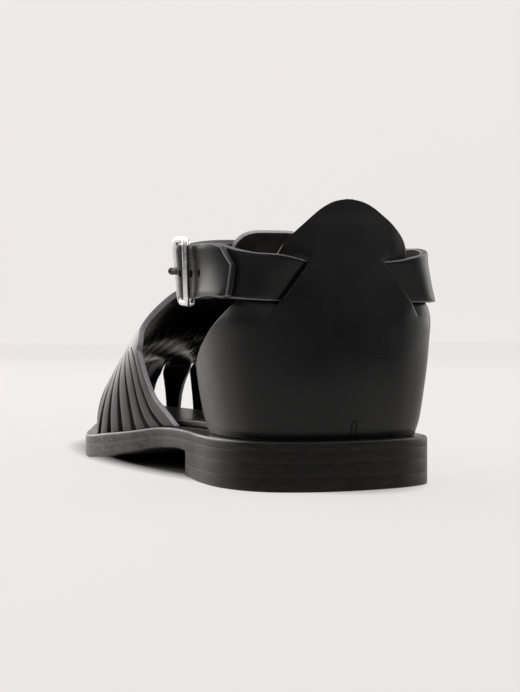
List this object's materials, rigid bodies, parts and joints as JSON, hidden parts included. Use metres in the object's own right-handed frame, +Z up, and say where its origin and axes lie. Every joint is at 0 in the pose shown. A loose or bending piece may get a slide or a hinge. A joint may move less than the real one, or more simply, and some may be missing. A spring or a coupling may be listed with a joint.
{
  "type": "fisherman sandal",
  "caption": "Left fisherman sandal in black leather: slit vamp with a tongue, open waist, high heel counter, ankle strap with a buckle, and a layered leather sole on a low stacked heel.",
  "frame": {"origin": "On the floor plane, under the middle of the heel base.", "axes": "+Y runs from the heel to the toe, +Z is up, +X points to the medial side of the foot (the right on this left shoe)."},
  "size_m": [0.0892, 0.26, 0.0855],
  "materials": {
    "upper_leather": "satin",
    "insole_leather": "satin",
    "sole_leather": "matte",
    "buckle_metal": "polished"
  },
  "bodies": {
    "root": {"outsole": "sole_leather", "midsole": "sole_leather", "heel_lift_upper": "sole_leather", "heel_lift_lower": "sole_leather", "insole": "insole_leather", "vamp": "upper_leather", "counter": "upper_leather", "ankle_strap": "upper_leather", "buckle_frame": "buckle_metal", "buckle_prong": "buckle_metal"}
  },
  "joints": []
}
